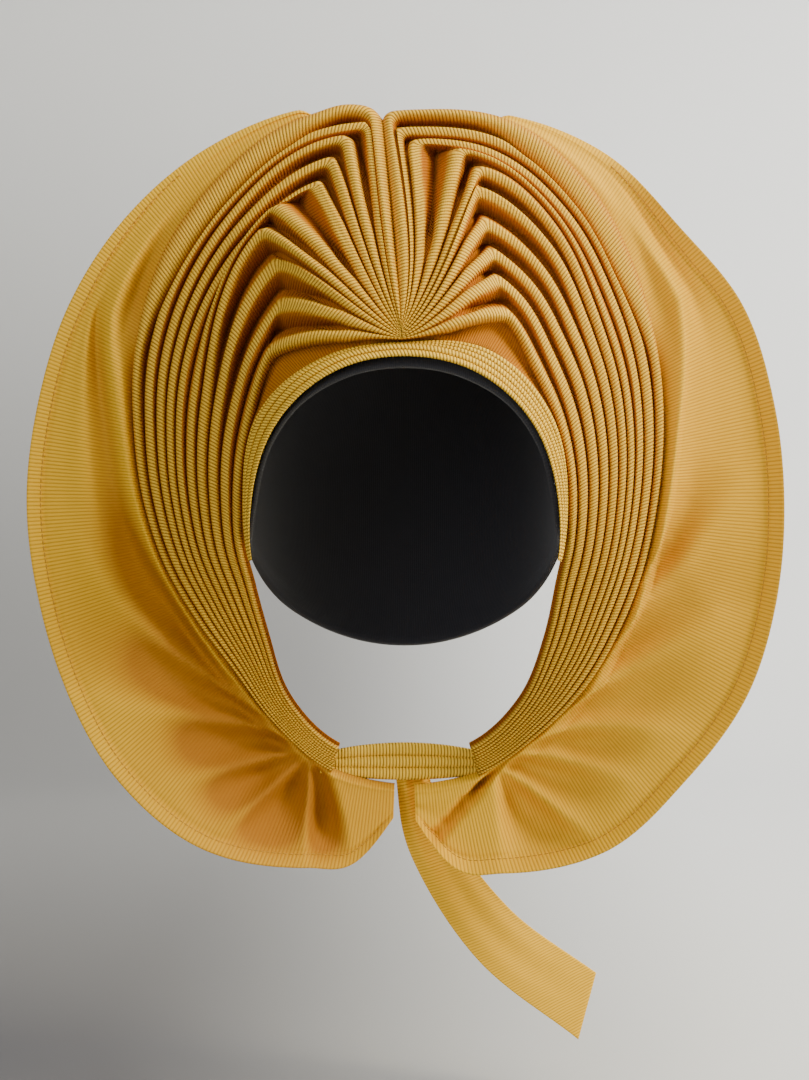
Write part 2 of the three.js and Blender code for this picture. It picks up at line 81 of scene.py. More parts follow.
# The pleats from the opening outward: share of the way across the fan, and where each ridge turns down
PLEATS = [
    # name, share, left x, left z, right x, right z
    ("first", 0, -60.8, -30.3, 46.6, -14.6),
    ("second", 0.12, -55.3, -10, 41.8, 1),
    ("third", 0.25, -56.4, 9, 39.3, 13.4),
    ("fourth", 0.365, -64.2, 23.9, 35.9, 27.2),
    ("fifth", 0.475, -59, 36.4, 32, 42.5),
    ("sixth", 0.58, -39.8, 46, 34.4, 53.1),
    ("seventh", 0.67, -33.2, 57.4, 25, 62.8),
    ("eighth", 0.76, -27.4, 68.5, 4, 66),
    ("ninth", 0.865, -15.5, 74.5, -3.5, 72),
    ("tenth", 1, -16, 82.5, -7, 81.5),
    ("edge", 1.045, -14.8, 86.5, -8.6, 84),
]
GATHER_ANGLE = 165
TURN_BLEND = 0.72
TURN_SMOOTHING = {"passes": 26, "reach": 9.0}
PINCH = {"x": -1.5, "y": -85.5, "low": -26.2, "top": -20.5, "apart": 0.05}
PINCH_STEEPNESS = (4, 80)
NOTCH = {"x": -11, "z": 79, "lap": 2.4}
ROLL = {"crest": -3.5, "edge": 1.5, "fades": (38, 62), "half": 9, "notch_half": 3.6, "widens": (11, 27)}
ROLL_SHADED_TO = (10, 22)
LIP = {"rise": 2.4, "angle": 8.5, "half": 3.2}
ARM_BULGE = 6
ARM_FORWARD = 8
ARC_STEPS = 150
ARC_CROWDING = 1.3
ARM_STEPS = 72
ARM_CROWDING = 1.25
HALF_FOLD = 8
FLOOR_FOLD = (0.3, 0.65, 0.97)
RIDGE_HALF = 2.9
RIDGE_SQUARENESS = 2.8
FLAT_HALF = 2.1
OPEN_SPACING = (7, 13)
OPEN_ROUNDNESS = 0.2
RIB_SLANT = 0.4
# Painted shade in the pleats' colour, the least on a crest and growing down each flank
LEAST_FOLD_SHADE = 0.16
SHADE_FROM = {"outward": (2.3, 4.8), "inward": (1.9, 3.3)}
VALLEY_GROWTH = 0.16
DEEPEST_VALLEY = 15
START_COLUMNS = 4
START_DEPTH = 11
# Painted shade on the tucked start of the pleats
START_SHADE = 0.9
TUCK = {"lap": 1.2, "full": (10, 24), "bare": (92, 108), "inward": 3.2, "down": 4}
EDGE_DROP = {"notch": {-1: 10.0, 1: 6.5}, "roll": 3.5, "roll_from": (9, 24), "side": 7.5, "side_from": (44, 66)}
SPACING_REACH = 10
MIDDLE_PLEAT = 4
RIBS_COUNTED_FROM = 100

# The border, with -1 for its left side and 1 for its right, and pairs of angles between which a form sets in
BORDER_FROM = 9
BORDER_TO = 178
BORDER_STEPS = 330
BORDER_COLUMNS = (5, 5, 7, 8, 8, 8, 7)
BORDER_WALL = {"hem": 2.2, "flare": 1.5, "more_at_root": 0.9}
START_TUCK = {"to": 15.5, "inward": 6, "narrower": 16, "slimmest": 2.5}
ROOT_LAP = 1.2
ROOT_GATHERS = (158, 165)
BESIDE_PLEATS = (52, 68)
CREASE_STARTS = (32, 54)
CREASE_RISE = {-1: 1.5, 1: 2.4}
CREASE_DIP = {-1: 8, 1: 4.5}
CREASE_WIDTH = {-1: 9, 1: 4.2}
STRIP_DEPTH = {-1: (8.5, 0.3), 1: (5.5, 1.8)}
FLARE_SAG = {-1: 0.5, 1: 5}
SOFT_SAG = {-1: 2, 1: 5}
TOP_SAG = 0.25
TOP_SAG_FADES = (22, 56)
CREASE_FADES = {-1: (95, 120), 1: (112, 140)}
HEM_WIDTH = 7.4
HEM_CURL = {-1: 3, 1: 8}
HEM_STARTS = (20, 46)
HEM_GROWS = (8, 30)
HEM_GROOVE = {"depth": 0.6, "half": 0.9}
HEM_COLUMN = sum(BORDER_COLUMNS[:-1]) + 1
STITCHED_WIDTH = 20
STITCH = {"pitch": 3.0, "length": 2.46, "thickness": 0.32, "lift": 0.12, "sides": 5}

# Ridges of the soft folds in the border, from the pleats downward, each running to its gather
FOLD_RIDGES = {
    -1: [
        # start x, start z, middle x, middle z, end x, end z
        (-133, -60, -113, -136, -65, -206),
        (-167, -95, -118, -164, -60, -205),
        (-150, -190, -97, -203, -56, -212),
        (-118, -235, -84, -228, -51, -220),
        (-97, -266, -67, -240, -50, -224),
        (-50, -285, -48, -254, -47, -228),
        (-26, -285, -31, -256, -38, -232),
    ],
    1: [
        (132, -31, 124, -112, 62, -208),
        (160, -84, 119, -143, 62, -213),
        (151, -153, 106, -181, 53, -219),
        (145, -210, 97, -207, 51, -220),
        (113, -234, 82, -225, 50, -222),
        (103, -272, 68, -244, 47, -229),
        (50, -288, 48, -258, 46, -233),
    ],
}
FOLD_DEPTH = 17
FOLD_STEEPNESS = 1.1
FOLD_SMOOTHING = 4
# Painted shade in the border's colour: in its sunken folds, and evenly low on the left and high on the right
BORDER_SHADE = {-1: 0.95, 1: 0.22}
LOW_SHADE = {-1: 0.42, 1: 0.0}
LOW_SHADE_STARTS = (126, 158)
HIGH_SHADE = {-1: 0.0, 1: 0.14}
HIGH_SHADE_FADES = (100, 135)

# The band round the opening: distance of its two edges, lean of the outer edge, and width of each cord
BAND = [
    # angle, inner, outer, lean, first, second, third, fourth, fifth cord
    (-112, 75, 76.8, 3, 1, 1, 0.1, 0.05, 0.05),
    (-90, 69.2, 73.6, 5, 1, 1, 0.4, 0.05, 0.05),
    (-60, 65.4, 75.4, 8, 1, 1.1, 1, 0.3, 0.05),
    (-30, 62.6, 71, 7, 1, 1.1, 0.6, 0.05, 0.05),
    (0, 61, 67.6, 5, 1, 1, 0.1, 0.05, 0.05),
    (30, 62.6, 74.5, 8, 1, 1, 0.9, 0.8, 0.7),
    (60, 65.4, 75.4, 8, 1, 0.9, 0.9, 0.8, 1.1),
    (90, 69.4, 74.4, 5, 1, 0.9, 0.8, 0.4, 0.2),
    (112, 75.4, 77.4, 3, 1, 0.8, 0.2, 0.1, 0.05),
]
BAND_WALL = 2.7
BAND_LIFT = 3.7
BAND_STEPS = 240
CORD_RISE = 2.4
CORD_STEPS = 10
SLIMMEST_CORD = 0.03

# Rim of the lining cap: turn from the front and lift above the middle of the dome, in degrees
RIM = [
    (-20, 33.5), (0, 37), (20, 33.5), (39, 23.5), (48, 14.5), (55, 3), (64, -7.5),
    (80, -12.5), (100, -18), (135, -31), (180, -41), (225, -31),
]
CAP_STEPS = 144
CAP_EDGE = {"rise": 0.55, "from": 0.045, "to": 0.06}
CAP_SEAM = {"depth": 0.35, "at": 0.052, "half": 0.006}
KNIT_RADIUS = 82

# The tie low at the back, and the stops of its tail
NAPE = {"half": 43, "middle_y": 65, "side_y": 56.4, "z": -227, "height": 19, "side_height": 10}
NAPE_FOLDS = 3
TAIL = [
    # x, y, z, width
    (3, 70.3, -232, 16),
    (14, 75, -272, 24),
    (48, 85, -321, 32),
    (96, 94, -359, 36),
]
TAIL_UPRIGHT = 0.6
TAIL_FOLD = 3
TAIL_WAVE = 0.8

# The stage, in metres, and the camera
FLOOR_Z = -0.41
SWEEP = {"radius": 0.9, "from": 1.5, "half_width": 4.0, "front": -3.2, "top": 3.2}
CAMERA = {"away": 950, "z": -114, "sensor": 36.0, "frame_height": 1080, "pixel": 0.478}
LIGHTS = [
    # name, place, aim, size, watts, colour
    ("window", (1.35, -0.75, 0.85), (0, 0, -0.08), 0.8, 41.5, (1.0, 0.925, 0.64)),
    ("fill", (-1.0, -1.8, 0.4), (0, 0, -0.12), 1.6, 22.5, (0.92, 0.94, 0.98)),
    ("top", (0.2, -0.3, 1.9), (0, 0, -0.1), 1.0, 20, (1.0, 1.0, 1.0)),
    ("wall", (2.2, 0.6, 1.0), (0.5, 2.4, 0.2), 1.2, 88, (1.0, 1.0, 0.98)),
]
ROOM_COLOUR = (0.8, 0.81, 0.83, 1)
ROOM_STRENGTH = 0.18


def lerp(a, b, t):
    return a + (b - a) * t


def ease(value, low, high):
    t = np.clip((value - low) / (high - low), 0, 1)
    return t * t * (3 - 2 * t)


def curve_between(first, second, first_slope, second_slope, gap, t):
    """A smooth run from one value to the next, with a slope at each."""
    near = (1 + 2 * t) * (1 - t) ** 2 * first + t * (1 - t) ** 2 * gap * first_slope
    far = t * t * (3 - 2 * t) * second + t * t * (t - 1) * gap * second_slope
    return near + far


def smooth_table(rows):
    """Reads a table keyed by its first column, smoothly between the rows."""
    keys = np.array([row[0] for row in rows], float)
    values = np.array([row[1:] for row in rows], float)
    slopes = np.gradient(values, keys, axis=0)

    def read(key):
        key = np.asarray(key, float)
        k = np.clip(np.searchsorted(keys, key) - 1, 0, len(keys) - 2)
        gap = keys[k + 1] - keys[k]
        t = ((key - keys[k]) / gap)[..., None]
        return curve_between(values[k], values[k + 1], slopes[k], slopes[k + 1], gap[..., None], t)

    return read


section_at = smooth_table(SECTIONS)
band_at = smooth_table(BAND)
rim_at = smooth_table(RIM)


def section(side, angle):
    row = section_at(angle)
    hand = 0 if side < 0 else 1
    found = {name: row[..., 2 * i + hand] for i, name in enumerate(("inner", "outer", "hem"))}
    found.update(inner_y=row[..., 6], outer_y=row[..., 7], hem_y=row[..., 8], crease=row[..., 9])
    return found


def round_opening(angle, radius, y):
    turn = np.radians(angle)
    return np.stack([radius * np.sin(turn), y + 0 * turn, OPENING_Z + radius * np.cos(turn)], axis=-1)


def dome_front(x, z, let_out):
    """How far forward the dome lies at a place of the front view, or far behind outside it."""
    sideways = np.abs(x) / (DOME[0] + let_out)
    upward = np.abs(z + DOME[2]) / (DOME[2] + let_out)
    rest = 1 - sideways**DOME_SQUARENESS - upward**DOME_SQUARENESS
    depth = (DOME[1] + let_out) * np.maximum(rest, 1e-9) ** (1 / DOME_SQUARENESS)
    return np.where(rest > 0, -depth, 1e3)


def travelled(points, axis):
    """Length walked along one axis of a grid of points."""
    step = np.linalg.norm(np.diff(points, axis=axis), axis=-1)
    first = np.zeros_like(np.take(step, [0], axis=axis))
    return np.concatenate([first, np.cumsum(step, axis=axis)], axis=axis)


def cloth_piece(name, front, back, along, across, finish, wraps=False, fold=0.0):
    """A closed thin cloth between a front and a back grid of points, with its thread coordinates
    and how much painted shade each point takes in its colour, from 0 to 1."""
    steps, columns = front.shape[:2]
    count = steps * columns
    index = np.arange(count).reshape(steps, columns)
    if wraps:
        index = np.vstack([index, index[:1]])
    corners = [index[:-1, :-1], index[1:, :-1], index[1:, 1:], index[:-1, 1:]]
    quads = np.stack(corners, axis=-1).reshape(-1, 4)
    rims = [(index[:, 0], False), (index[:, -1], True)]
    if not wraps:
        rims += [(index[0, :], True), (index[-1, :], False)]
    faces = [quads, quads[:, ::-1] + count]
    for rim, turned in rims:
        strip = np.stack([rim[:-1], rim[:-1] + count, rim[1:] + count, rim[1:]], axis=-1)
        faces.append(strip[:, ::-1] if turned else strip)
    points = np.concatenate([front.reshape(-1, 3), back.reshape(-1, 3)]) * MM
    mesh = bpy.data.meshes.new(name)
    mesh.from_pydata(points.tolist(), [], np.concatenate(faces).tolist())
    for label, values in (("along", along), ("across", across), ("fold", fold)):
        layer = mesh.attributes.new(label, "FLOAT", "POINT")
        flat = np.broadcast_to(values, (steps, columns)).reshape(-1)
        layer.data.foreach_set("value", np.concatenate([flat, flat]).astype(np.float32))
    return finished(name, mesh, finish)


def finished(name, mesh, finish):
    mesh.validate()
    mesh.shade_smooth()
    mesh.materials.append(finish)
    piece = bpy.data.objects.new(name, mesh)
    bpy.context.scene.collection.objects.link(piece)
    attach(piece, "root")
    return piece


class Shade:
    """A shader socket. Sums on it add Math nodes, and node() adds any other node."""

    def __init__(self, tree, socket=None):
        self.tree = tree
        self.socket = socket

    def node(self, kind, settings, sockets, output=0):
        made = self.tree.nodes.new(kind)
        for name, value in settings.items():
            setattr(made, name, value)
        for name, value in sockets.items():
            if isinstance(value, Shade):
                self.tree.links.new(value.socket, made.inputs[name])
            else:
                made.inputs[name].default_value = value
        return Shade(self.tree, made.outputs[output] if made.outputs else None)

    def maths(self, operation, *terms):
        return self.node("ShaderNodeMath", {"operation": operation}, dict(enumerate(terms)))

    def __add__(self, other):
        return self.maths("ADD", self, other)

    __radd__ = __add__

    def __sub__(self, other):
        return self.maths("SUBTRACT", self, other)

    def __rsub__(self, other):
        return self.maths("SUBTRACT", other, self)

    def __mul__(self, other):
        return self.maths("MULTIPLY", self, other)

    __rmul__ = __mul__

    def __truediv__(self, other):
        return self.maths("DIVIDE", self, other)

    def __pow__(self, other):
        return self.maths("POWER", self, other)

    def __abs__(self):
        return self.maths("ABSOLUTE", self)

    def sine(self):
        return self.maths("SINE", self)

    def within(self, low, high):
        ends = {"From Min": low, "From Max": high}
        return self.node("ShaderNodeMapRange", {"interpolation_type": "SMOOTHSTEP"}, {"Value": self, **ends})

    def mixed(self, first, second):
        """Colour between two colours, with this value as the share of the second."""
        colours = {0: self, 6: first, 7: second}
        return self.node("ShaderNodeMix", {"data_type": "RGBA"}, colours, output=2)


def new_finish(name):
    finish = bpy.data.materials.new(name)
    finish.use_nodes = True
    finish.node_tree.nodes.clear()
    return finish, Shade(finish.node_tree)


def set_surface(finish, start, sockets):
    shader = start.node("ShaderNodeBsdfPrincipled", {}, sockets)
    start.node("ShaderNodeOutputMaterial", {}, {"Surface": shader})
    return finish


def thread(start, label):
    return start.node("ShaderNodeAttribute", {"attribute_name": label}, {}, output=2)


def mottle(start, scale, detail=2.0):
    place = start.node("ShaderNodeTexCoord", {}, {}, output=3)
    return start.node("ShaderNodeTexNoise", {}, {"Vector": place, "Scale": scale, "Detail": detail})


def ribbed_cloth(name, shaded_groove, crown, warm, deep, rise):
    """Stiff cloth with rounded ribs across it, each wound round with fine yarn, with painted shade in the grooves
    between the ribs and in its folds.
    """
    finish, start = new_finish(name)
    along = thread(start, "along") / RIB_PITCH
    across = thread(start, "across") / YARN_PITCH
    slub = mottle(start, 900.0)
    broad = mottle(start, 22.0)
    rib = abs((along * math.pi + (slub - 0.5) * 0.25).sine()) ** 1.05
    yarn = (across * 2 * math.pi + along * math.pi).sine() * 0.5 + 0.5
    fuzz = mottle(start, 5200.0, 1.0)
    tone = (rib * 0.82 + yarn * 0.05 + fuzz * 0.14 + 0.03).within(0.0, 1.0)
    # The colour runs from the crown colour on the ribs to the groove colour between them: painted shade in the
    # grooves.
    ribs = tone.mixed(shaded_groove, crown)
    worn = ((broad - 0.35) * 0.5).mixed(ribs, warm)
    # The fold attribute mixes the colour towards the deep colour: painted shade.
    colour = (thread(start, "fold") * 0.9).mixed(worn, deep)
    height = rib + yarn * 0.12 + fuzz * 0.1
    lean = start.node("ShaderNodeBump", {}, {"Strength": 0.8, "Distance": rise * MM, "Height": height})
    surface = {
        "Base Color": colour,
        "Roughness": 0.72 - rib * 0.12 + (broad - 0.5) * 0.1,
        "Normal": lean,
        "Specular IOR Level": 0.08,
        "Sheen Weight": 0.04,
        "Sheen Roughness": 0.4,
        "Sheen Tint": (1.0, 0.7, 0.2, 1.0),
    }
    return set_surface(finish, start, surface)


def stretch_knit(name):
    """Fine black knit with narrow columns of loops."""
    finish, start = new_finish(name)
    loops = abs((thread(start, "along") * (math.pi / 0.9)).sine())
    rows = (thread(start, "across") * (2 * math.pi / 0.8)).sine() * 0.5 + 0.5
    fuzz = mottle(start, 2600.0)
    colour = (loops * 0.5 + fuzz * 0.5).mixed((0.006, 0.006, 0.008, 1), (0.03, 0.03, 0.036, 1))
    height = loops + rows * 0.5 + fuzz * 0.3
    lean = start.node("ShaderNodeBump", {}, {"Strength": 0.5, "Distance": 0.0002, "Height": height})
    surface = {
        "Base Color": colour,
        "Roughness": 0.8 + fuzz * 0.15,
        "Normal": lean,
        "Specular IOR Level": 0.25,
        "Sheen Weight": 0.12,
        "Sheen Roughness": 0.5,
    }
    return set_surface(finish, start, surface)


def sewing_thread(name):
    finish, start = new_finish(name)
    twist = (mottle(start, 3000.0) - 0.3).within(0.0, 0.5)
    colour = twist.mixed((0.45, 0.2, 0.006, 1), (0.72, 0.38, 0.02, 1))
    lean = start.node("ShaderNodeBump", {}, {"Strength": 0.4, "Distance": 0.0001, "Height": twist})
    return set_surface(finish, start, {"Base Color": colour, "Roughness": 0.55 + twist * 0.1, "Normal": lean})


def painted_backdrop(name):
    """Pale paint, with a painted shadow low on the left."""
    finish, start = new_finish(name)
    cloud = mottle(start, 3.0)
    place = start.node("ShaderNodeTexCoord", {}, {}, output=3)
    x, y, z = (start.node("ShaderNodeSeparateXYZ", {}, {"Vector": place}, output=i) for i in range(3))
    pale = cloud.mixed((0.86, 0.86, 0.86, 1), (0.9, 0.9, 0.895, 1))
    # A painted shadow, darkest low on the left over the floor and the foot of the sweep.
    low = (1 - z.within(FLOOR_Z, 0.9)) * 0.76 + (1 - y.within(0.0, 1.35)) * 0.26
    dark = (1 - x.within(-0.2, 0.35)) * low
    colour = dark.mixed(pale, (0.12, 0.116, 0.12, 1))
    return set_surface(finish, start, {"Base Color": colour, "Roughness": 0.85 + cloud * 0.1})


WARM = (0.78, 0.41, 0.006, 1)
# The groove and deep colours are painted shade, between the ribs and in the folds.
golden_cloth = ribbed_cloth(
    "golden_ribbed_cloth",
    shaded_groove=(0.23, 0.085, 0.01, 1),
    crown=(1.0, 0.64, 0.06, 1),
    warm=WARM,
    deep=(0.47, 0.13, 0.008, 1),
    rise=0.46,
)
spread_cloth = ribbed_cloth(
    "golden_spread_cloth",
    shaded_groove=(0.62, 0.3, 0.012, 1),
    crown=(0.95, 0.55, 0.03, 1),
    warm=WARM,
    deep=(0.4, 0.145, 0.016, 1),
    rise=0.22,
)
black_knit = stretch_knit("black_lining")
golden_thread = sewing_thread("golden_thread")


def middle_seam(side, turn, pinch, t):
    """Way of the outer edge down the middle, where the left half is lapped behind the right half."""
    lap = NOTCH["lap"] if side < 0 else 0
    notch = np.array([NOTCH["x"] + lap, turn[1], NOTCH["z"]])
    low = lerp(notch, pinch, 0.85) + np.array([0.4 * lap, 0, 0])
    stops = np.stack([turn, notch, low, pinch])
    walked = travelled(stops, 0)
    return np.stack([np.interp(t * walked[-1], walked, stops[:, i]) for i in range(3)], axis=1)


def ridge_line(side, pleat):
    """One pleat's ridge from its low gather round the side, over its turn, to the pinch."""
    name, share, left_x, left_z, right_x, right_z = pleat
    turn_x, turn_z = (left_x, left_z) if side < 0 else (right_x, right_z)
    turn_angle = side * math.degrees(math.atan2(turn_x, turn_z - OPENING_Z))
    along = 1 - (1 - np.linspace(0, 1, ARC_STEPS + 1)) ** ARC_CROWDING
    angle = lerp(GATHER_ANGLE, turn_angle, along)
    here = section(side, angle)
    swell = {"tenth": ROLL["crest"], "edge": ROLL["edge"]}.get(name, 0)
    radius = lerp(here["inner"], here["outer"], share) + swell * (1 - ease(angle, *ROLL["fades"]))
    if side < 0 and swell:
        radius += LIP["rise"] * np.exp(-(((angle - LIP["angle"]) / LIP["half"]) ** 2))
    arc = round_opening(side * angle, radius, lerp(here["inner_y"], here["outer_y"], share))
    turn = np.array([turn_x, arc[-1, 1], turn_z])
    arc += (turn - arc[-1]) * ease(along, TURN_BLEND, 1)[:, None]
    low = lerp(PINCH["low"], PINCH["top"], share**1.6)
    pinch = np.array([PINCH["x"] + PINCH["apart"] * side, PINCH["y"], low])
    steep = math.radians(lerp(*PINCH_STEEPNESS, min(1.06 * share, 1)))
    reach = 0.3 * math.dist((turn_x, turn_z), (pinch[0], pinch[2]))
    arrive = pinch + reach * np.array([side * math.cos(steep), 0.1, math.sin(steep)])
    forward = ARM_FORWARD * ease(1 - share, 0.3, 0.7)
    arrive[1] -= 0.4 * forward
    leave = lerp(turn, arrive, 0.5) + np.array([0, -1.5 - forward, ARM_BULGE * ease(1 - share, 0.1, 0.6)])
    t = (np.linspace(0, 1, ARM_STEPS + 1)[1:] ** ARM_CROWDING)[:, None]
    arm = (1 - t) ** 3 * turn + 3 * t * (1 - t) ** 2 * leave + 3 * t * t * (1 - t) * arrive + t**3 * pinch
    if name == "edge":
        arm = middle_seam(side, turn, pinch, t[:, 0])
    line = np.concatenate([arc, arm])
    near = np.exp(-(((np.arange(len(line)) - ARC_STEPS) / TURN_SMOOTHING["reach"]) ** 2))[:, None]
    for _ in range(TURN_SMOOTHING["passes"]):
        line[1:-1] += 0.5 * near[1:-1] * (0.5 * (line[:-2] + line[2:]) - line[1:-1])
    return line


def sunk(points, depth, wall):
    """Points sunk into a valley, no deeper than the cap behind them allows."""
    found = points.copy()
    floor = dome_front(points[..., 0], points[..., 2], CAP_WALL + CAP_CLEARANCE) - wall
    deep = points[..., 1] + depth
    found[..., 1] = np.where(points[..., 2] > RIM_Z, np.minimum(deep, floor), deep)
    return found


def spacing_between(line, following):
    """Distance across from one ridge to the next, evened out along them."""
    heading = np.gradient(line + following, axis=0)
    heading /= np.linalg.norm(heading[:, [0, 2]], axis=1)[:, None]
    gap = following - line
    apart = np.abs(gap[:, 0] * heading[:, 2] - gap[:, 2] * heading[:, 0])
    weights = np.hanning(2 * SPACING_REACH + 1)[1:-1] / SPACING_REACH
    return np.convolve(np.pad(apart, SPACING_REACH - 1, mode="edge"), weights, "valid")


def band_depth(angle, radius):
    """How far forward the leaning front of the band lies."""
    row = band_at(angle)
    edge = round_opening(angle, row[..., 0], 0)
    seat = dome_front(edge[..., 0], edge[..., 2], CAP_WALL) - BAND_WALL - BAND_LIFT
    return seat + row[..., 2] * (radius - row[..., 0]) / (row[..., 1] - row[..., 0])


def tucked_edge(first):
    """Inner edge of the pleated cloth, which slips under the band wherever the band covers it."""
    angle = np.degrees(np.arctan2(first[:, 0], first[:, 2] - OPENING_Z))
    reach = np.hypot(first[:, 0], first[:, 2] - OPENING_Z)
    spread = np.abs(angle)
    bare = ease(spread, *TUCK["bare"])
    held = np.clip(angle, BAND[0][0], BAND[-1][0])
    tuck = lerp(-2 * AIR, TUCK["lap"], ease(spread, *TUCK["full"]))
    radius = lerp(band_at(held)[:, 1] - tuck, reach - TUCK["inward"], bare)
    under = band_depth(held, radius) + BAND_WALL + 2 * AIR
    return round_opening(angle, radius, lerp(under, first[:, 1] + TUCK["down"], bare))


def edge_drop(side, angle):
    """How deep the outer edge of the pleats lies behind the last ridge."""
    top = lerp(EDGE_DROP["notch"][side], EDGE_DROP["roll"], ease(angle, *EDGE_DROP["roll_from"]))
    return lerp(top, EDGE_DROP["side"], ease(angle, *EDGE_DROP["side_from"]))


def pleat_half(side):
    """Half of the pleated fan, from its low gather up to the pinch above the opening."""
    lines = [ridge_line(side, pleat) for pleat in PLEATS]
    steps = len(lines[0])
    over = np.sin(np.linspace(0, math.pi / 2, HALF_FOLD + 1))[None]
    snug = np.clip(np.linalg.norm(lines[0] - lines[1], axis=1) / 5, 0.15, 1)
    edge = tucked_edge(lines[0])
    gap = np.linalg.norm((lines[0] - edge)[:, [0, 2]], axis=1)
    shift = np.minimum(0.43, RIDGE_HALF / np.maximum(gap, 0.1))[:, None]
    start = sunk(lerp(lines[0], edge, shift), np.minimum(START_DEPTH, 1.4 * gap), TUCKED_WALL)
    strips = [lerp(edge[:, None], start[:, None], np.linspace(0, 1, START_COLUMNS + 1)[None, :-1, None])]
    folds = [np.full((steps, START_COLUMNS), START_SHADE)]
    angles = np.degrees(np.abs([np.arctan2(line[:, 0], line[:, 2] - OPENING_Z) for line in lines]))
    middle = np.argmin(np.abs(angles[MIDDLE_PLEAT] - RIBS_COUNTED_FROM))
    walked = [travelled(line, 0) for line in lines]
    walked = [length - length[middle] for length in walked]
    headings = [np.gradient(line, axis=0) for line in lines]
    headings = [heading / np.linalg.norm(heading, axis=1)[:, None] for heading in headings]
    ribs = [np.repeat(walked[0][:, None] + RIB_SLANT * RIDGE_HALF, START_COLUMNS, axis=1)]
    floor = np.array(FLOOR_FOLD)[None]

    def add_flank(i, foot, outward, opened, squareness=RIDGE_SQUARENESS, shaded=1):
        """The cloth from a ridge down to its foot, as a snug roll or as an open slanting fold."""
        way = foot - lines[i]
        reach = np.hypot(way[:, 0], way[:, 2])[:, None]
        flat = np.minimum(0.5, FLAT_HALF / np.maximum(reach, 0.1))
        past = np.maximum(over - flat, 0) / (1 - flat)
        slanting = np.hypot(past, OPEN_ROUNDNESS) - OPEN_ROUNDNESS
        slanting /= math.hypot(1, OPEN_ROUNDNESS) - OPEN_ROUNDNESS
        rolled = 1 - (1 - over**squareness) ** (1 / squareness)
        down = lerp(rolled, slanting, opened)
        sideways = np.broadcast_to(over, down.shape)
        found = lines[i][:, None] + way[:, None] * np.stack([sideways, down, sideways], axis=-1)
        heading = headings[i]
        ahead = way[:, 0] * heading[:, 0] + way[:, 2] * heading[:, 2]
        aside = np.abs(way[:, 0] * heading[:, 2] - way[:, 2] * heading[:, 0])
        slant = ahead + (-RIB_SLANT if outward else RIB_SLANT) * aside
        rib = walked[i][:, None] + slant[:, None] * over
        # Painted shade: darker down each flank, more on the inward flank of an open fold, and full past a set
        # distance from the ridge.
        darker = lerp(1, 0.5 if outward else 1.35, opened)
        dim = LEAST_FOLD_SHADE + (1 - LEAST_FOLD_SHADE) * np.clip(down**0.8 * darker, 0, 1)
        shade = ease(reach * over, *SHADE_FROM["outward" if outward else "inward"])
        dim = np.maximum(dim, shade * shaded)
        if not outward:
            found, rib, dim = (values[:, :0:-1] for values in (found, rib, dim))
        strips.append(found)
        ribs.append(rib)
        folds.append(dim)

    def add_floor(near, far):
        strips.append(lerp(near[:, None], far[:, None], floor[..., None]))
        ribs.append(lerp(ribs[-1][:, -1:], ribs[-1][:, -1:] + 2 * RIB_SLANT * RIDGE_HALF, floor))
        # The valley floor takes full painted shade.
        folds.append(np.ones((steps, len(FLOOR_FOLD))))

    add_flank(0, start, False, np.zeros((steps, 1)))
    for i in range(len(lines) - 2):
        line, following = lines[i], lines[i + 1]
        spacing = spacing_between(line, following)[:, None]
        depth = np.clip(VALLEY_GROWTH * spacing**2, spacing, DEEPEST_VALLEY)[:, 0]
        opened = ease(spacing, *OPEN_SPACING)
        halfway = lerp(line, following, 0.5)
        room = (sunk(halfway, depth, FAN_WALL) - halfway)[:, 1:2]
        open_half = np.minimum(0.48, np.maximum(RIDGE_HALF, 1.1 * room) / spacing)
        near_half = lerp(np.minimum(0.44, RIDGE_HALF / spacing), open_half, opened)
        far_half, far_opened, far_squareness, far_shaded = near_half, opened, RIDGE_SQUARENESS, 1
        if i == len(lines) - 3:
            past_roll = ease(angles[i], *ROLL["fades"])[:, None]
            roll_half = lerp(ROLL["notch_half"], ROLL["half"], ease(angles[i], *ROLL["widens"]))[:, None]
            far_half = lerp(np.minimum(0.78, roll_half / spacing), far_half, past_roll)
            near_half = np.minimum(near_half, 0.92 - far_half)
            far_opened = opened * past_roll
            far_squareness = lerp(2, RIDGE_SQUARENESS, past_roll)
            far_shaded = np.maximum(past_roll, 1 - ease(angles[i], *ROLL_SHADED_TO)[:, None])
        near = sunk(lerp(line, following, near_half), 0.9 * depth, FAN_WALL)
        far = sunk(lerp(following, line, far_half), depth, FAN_WALL)
        add_flank(i, near, True, opened)
        add_floor(near, far)
        add_flank(i + 1, far, False, far_opened, far_squareness, far_shaded)
    foot = sunk(lines[-1], edge_drop(side, angles[-2]) * snug, FAN_WALL)
    add_flank(len(lines) - 2, foot, True, np.zeros((steps, 1)), 2, 0.25)
    front, along, fold = (np.concatenate(found, axis=1) for found in (strips, ribs, folds))
    across = travelled(front, 1)
    across = np.broadcast_to(across[: steps // 2].mean(axis=0), across.shape)
    return front, along, across, fold


def set_pleats(side, hand):
    front, along, across, fold = pleat_half(side)
    if side > 0:
        front, along, across, fold = front[::-1], along[::-1], across[::-1], fold[::-1]
    back = front + np.array([0, FAN_WALL, 0])
    tucked = slice(0, START_COLUMNS + 1)
    back[:, tucked, 1] = front[:, tucked, 1] + TUCKED_WALL
    piece = cloth_piece(
        f"pleats_{hand}_cloth", front, back, along, across, golden_cloth, fold=fold
    )
    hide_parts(f"pleats_{hand}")
    return piece


